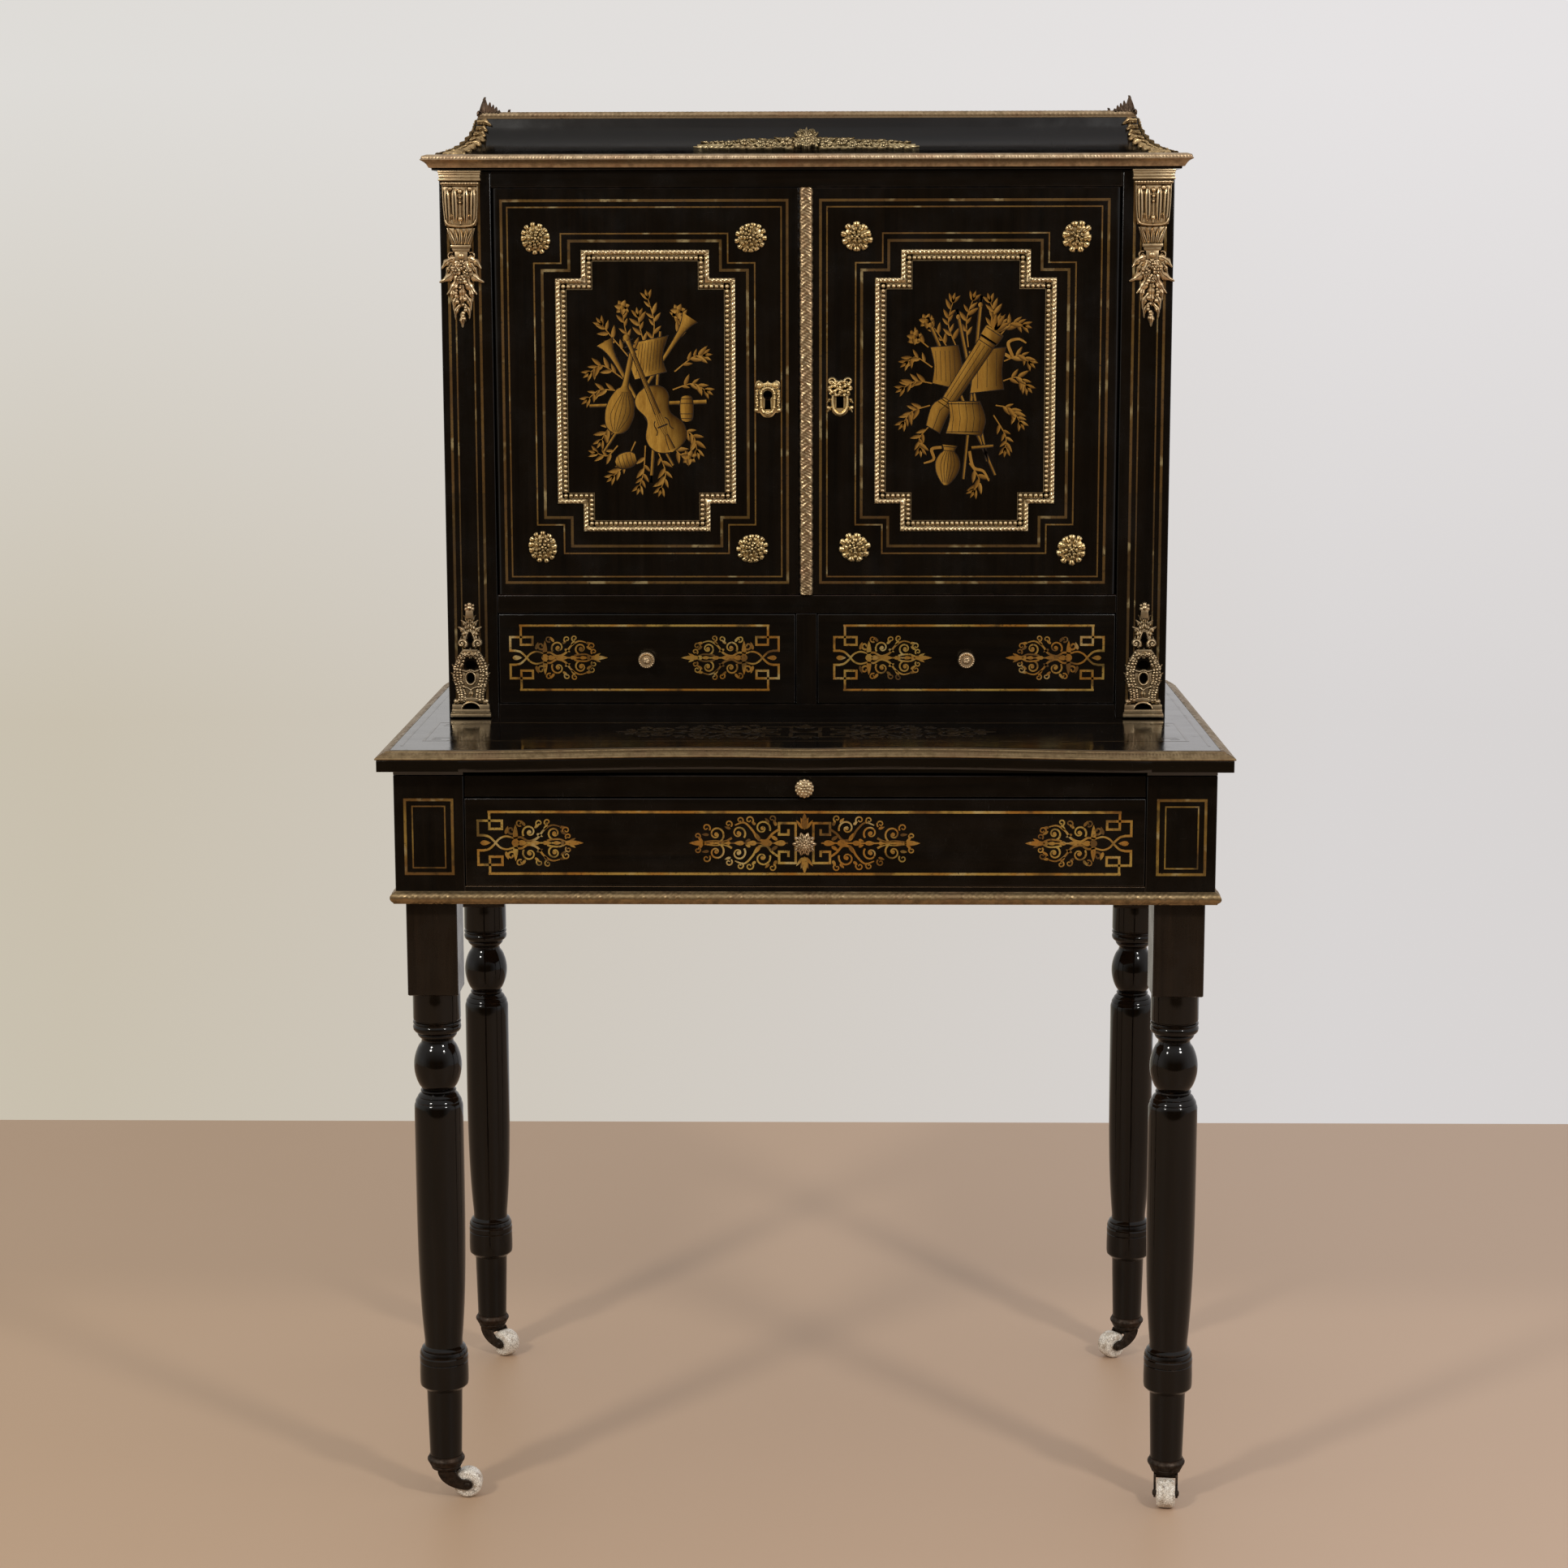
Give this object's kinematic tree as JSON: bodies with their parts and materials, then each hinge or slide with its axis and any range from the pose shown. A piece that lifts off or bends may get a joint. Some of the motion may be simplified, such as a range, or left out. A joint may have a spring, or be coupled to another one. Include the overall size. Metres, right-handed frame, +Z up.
{
  "type": "bonheur du jour",
  "caption": "Ebonised writing cabinet on a table with a serpentine top, turned legs and casters, with panelled doors, drawers, a pull-out writing slide and gilt-bronze mounts.",
  "frame": {"origin": "on the floor under the middle of the table top", "axes": "+Z up, -Y is the front with the doors and drawers, +X is to the right of someone facing the front"},
  "size_m": [0.82, 0.53, 1.3939],
  "materials": {
    "ebonised_wood": "black french-polished fruitwood with a gloss",
    "gilt_bronze": "aged gilding with dark recesses",
    "drawer_oak": "plain waxed oak",
    "caster_iron": "dark patinated",
    "porcelain": "glazed white porcelain, crazed and worn"
  },
  "bodies": {
    "carcass": {"table_top": "ebonised_wood", "table_top_moulding": "gilt_bronze", "table_left_apron": "ebonised_wood", "table_right_apron": "ebonised_wood", "table_back_apron": "ebonised_wood", "table_front_left_stile": "ebonised_wood", "table_front_right_stile": "ebonised_wood", "table_bottom_board": "drawer_oak", "slide_bearer": "drawer_oak", "table_base_moulding": "gilt_bronze", "cabinet_left_side": "ebonised_wood", "cabinet_right_side": "ebonised_wood", "cabinet_left_pilaster": "ebonised_wood", "cabinet_right_pilaster": "ebonised_wood", "cabinet_back": "ebonised_wood", "cabinet_bottom": "ebonised_wood", "cabinet_drawer_partition": "ebonised_wood", "cabinet_deck": "ebonised_wood", "cabinet_frieze_rail": "ebonised_wood", "cabinet_shelf": "ebonised_wood", "left_door_lower_pivot": "gilt_bronze", "left_door_upper_pivot": "gilt_bronze", "right_door_lower_pivot": "gilt_bronze", "right_door_upper_pivot": "gilt_bronze", "cornice_board": "ebonised_wood", "cornice_moulding": "gilt_bronze", "coved_crown": "ebonised_wood", "crown_rim": "gilt_bronze", "front_left_leg": "ebonised_wood", "front_right_leg": "ebonised_wood", "back_left_leg": "ebonised_wood", "back_right_leg": "ebonised_wood", "front_left_caster_socket": "caster_iron", "front_right_caster_socket": "caster_iron", "back_left_caster_socket": "caster_iron", "back_right_caster_socket": "caster_iron"},
    "left_door": {"left_door": "ebonised_wood", "left_door_bead_frame": "gilt_bronze"},
    "right_door": {"right_door": "ebonised_wood", "right_door_bead_frame": "gilt_bronze", "door_astragal": "gilt_bronze"},
    "left_drawer": {"left_drawer_front": "ebonised_wood", "left_drawer_tray": "drawer_oak", "left_drawer_knob": "gilt_bronze"},
    "right_drawer": {"right_drawer_front": "ebonised_wood", "right_drawer_tray": "drawer_oak", "right_drawer_knob": "gilt_bronze"},
    "table_drawer": {"table_drawer_front": "ebonised_wood", "table_drawer_tray": "drawer_oak", "table_drawer_knob": "gilt_bronze"},
    "writing_slide": {"writing_slide": "ebonised_wood", "writing_slide_knob": "gilt_bronze"},
    "front_left_fork": {"front_left_caster_fork": "caster_iron"},
    "front_right_fork": {"front_right_caster_fork": "caster_iron"},
    "back_left_fork": {"back_left_caster_fork": "caster_iron"},
    "back_right_fork": {"back_right_caster_fork": "caster_iron"},
    "front_left_wheel": {"front_left_caster_wheel": "porcelain"},
    "front_right_wheel": {"front_right_caster_wheel": "porcelain"},
    "back_left_wheel": {"back_left_caster_wheel": "porcelain"},
    "back_right_wheel": {"back_right_caster_wheel": "porcelain"}
  },
  "joints": [
    {"name": "left_door_hinge", "type": "hinge", "parent": "carcass", "child": "left_door", "pos_m": [-0.30915, -0.029, 1.099], "axis": [0, 0, -1], "range_deg": [0, 95]},
    {"name": "right_door_hinge", "type": "hinge", "parent": "carcass", "child": "right_door", "pos_m": [0.30915, -0.029, 1.099], "axis": [0, 0, 1], "range_deg": [0, 95]},
    {"name": "left_drawer_pull", "type": "slide", "parent": "carcass", "child": "left_drawer", "axis": [0, -1, 0], "range_m": [0, 0.18]},
    {"name": "right_drawer_pull", "type": "slide", "parent": "carcass", "child": "right_drawer", "axis": [0, -1, 0], "range_m": [0, 0.18]},
    {"name": "table_drawer_pull", "type": "slide", "parent": "carcass", "child": "table_drawer", "axis": [0, -1, 0], "range_m": [0, 0.28]},
    {"name": "writing_slide_pull", "type": "slide", "parent": "carcass", "child": "writing_slide", "axis": [0, -1, 0], "range_m": [0, 0.25]},
    {"name": "front_left_swivel", "type": "hinge", "parent": "carcass", "child": "front_left_fork", "pos_m": [-0.3629, -0.205, 0.03], "axis": [0, 0, 1], "continuous": true},
    {"name": "front_right_swivel", "type": "hinge", "parent": "carcass", "child": "front_right_fork", "pos_m": [0.3629, -0.205, 0.03], "axis": [0, 0, 1], "continuous": true},
    {"name": "back_left_swivel", "type": "hinge", "parent": "carcass", "child": "back_left_fork", "pos_m": [-0.3629, 0.2186, 0.03], "axis": [0, 0, 1], "continuous": true},
    {"name": "back_right_swivel", "type": "hinge", "parent": "carcass", "child": "back_right_fork", "pos_m": [0.3629, 0.2186, 0.03], "axis": [0, 0, 1], "continuous": true},
    {"name": "front_left_roll", "type": "hinge", "parent": "front_left_fork", "child": "front_left_wheel", "pos_m": [-0.3409, -0.205, 0.0145], "axis": [0, 1, 0], "continuous": true},
    {"name": "front_right_roll", "type": "hinge", "parent": "front_right_fork", "child": "front_right_wheel", "pos_m": [0.3606, -0.22688, 0.0145], "axis": [0.9945, -0.1045, 0], "continuous": true},
    {"name": "back_left_roll", "type": "hinge", "parent": "back_left_fork", "child": "back_left_wheel", "pos_m": [-0.34605, 0.20446, 0.0145], "axis": [0.6428, 0.766, 0], "continuous": true},
    {"name": "back_right_roll", "type": "hinge", "parent": "back_right_fork", "child": "back_right_wheel", "pos_m": [0.34488, 0.20598, 0.0145], "axis": [0.5736, -0.8192, 0], "continuous": true}
  ]
}
